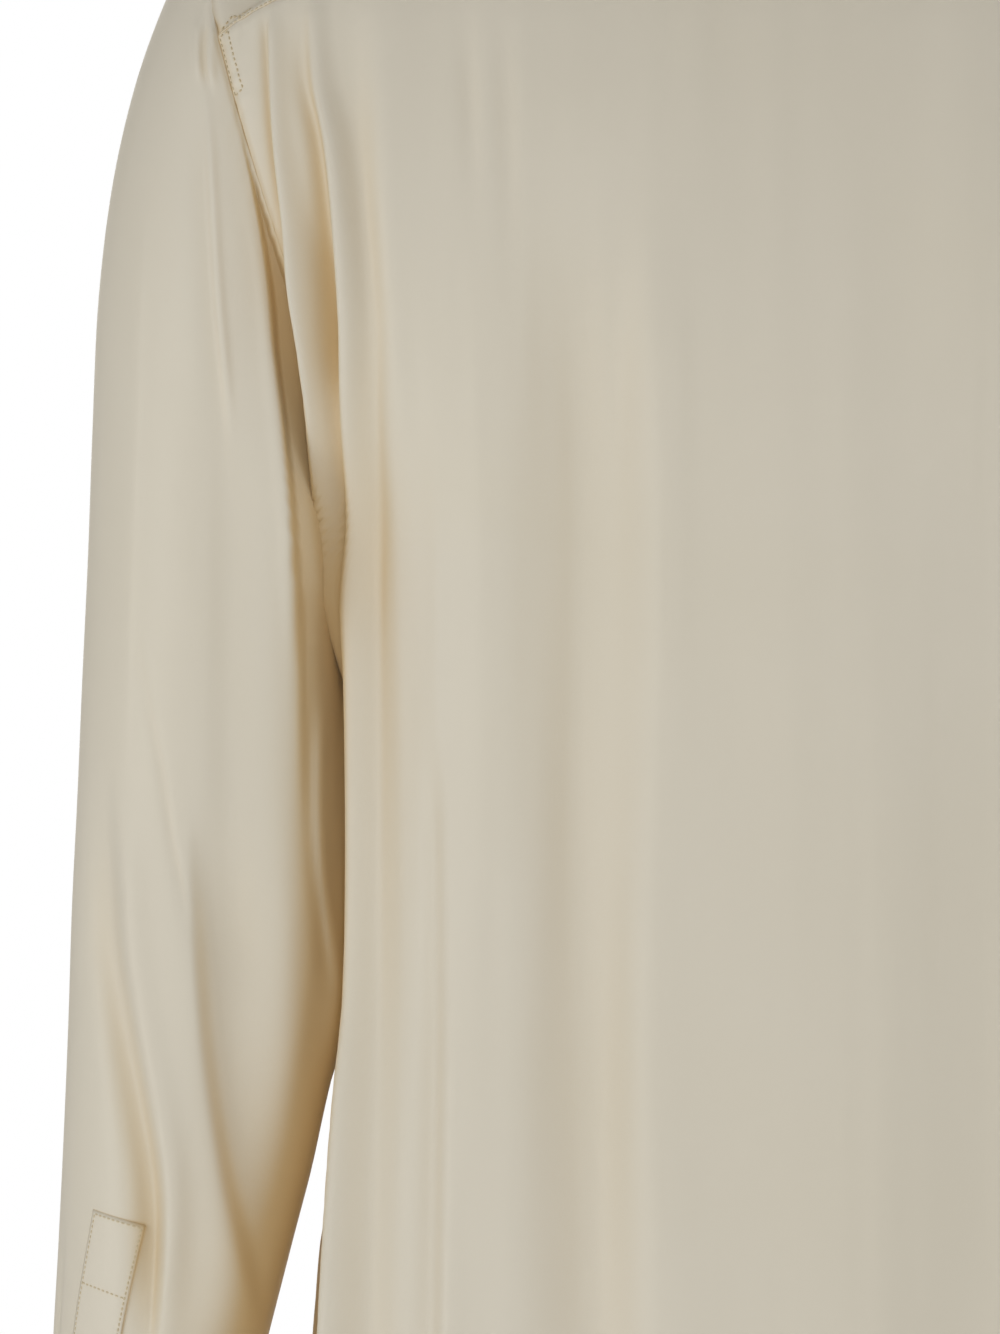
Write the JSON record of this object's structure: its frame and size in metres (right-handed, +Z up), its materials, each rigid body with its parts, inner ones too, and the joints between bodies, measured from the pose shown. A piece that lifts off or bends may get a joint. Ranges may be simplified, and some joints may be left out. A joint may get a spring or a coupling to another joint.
{
  "type": "silk blouse",
  "caption": "Long-sleeved silk shirt blouse that keeps the form it has when worn: open neck, hem and cuffs, straight button front, plain collar.",
  "frame": {"origin": "middle of the shoulder line, between the two points where the shoulders meet the neck; the wearer's shoulders hold the blouse up there", "axes": "+Z up towards the neck, -Y to the wearer's front, +X to the wearer's left"},
  "size_m": [0.5398, 0.2427, 0.7437],
  "materials": {
    "silk": "ivory silk crepe with a soft low sheen",
    "shell": "polished pearly shirt button"
  },
  "bodies": {
    "root": {"back": "silk", "yoke": "silk", "front_placket": "silk", "collar_stand": "silk", "collar": "silk", "front_left": "silk", "front_right": "silk", "sleeve_left": "silk", "tower_left": "silk", "cuff_left": "silk", "sleeve_right": "silk", "tower_right": "silk", "cuff_right": "silk", "button_front_1": "shell", "button_front_2": "shell", "button_front_3": "shell", "button_front_4": "shell", "button_front_5": "shell", "button_front_6": "shell", "button_front_7": "shell", "button_stand": "shell", "button_cuff_left": "shell", "button_cuff_right": "shell"}
  },
  "joints": []
}
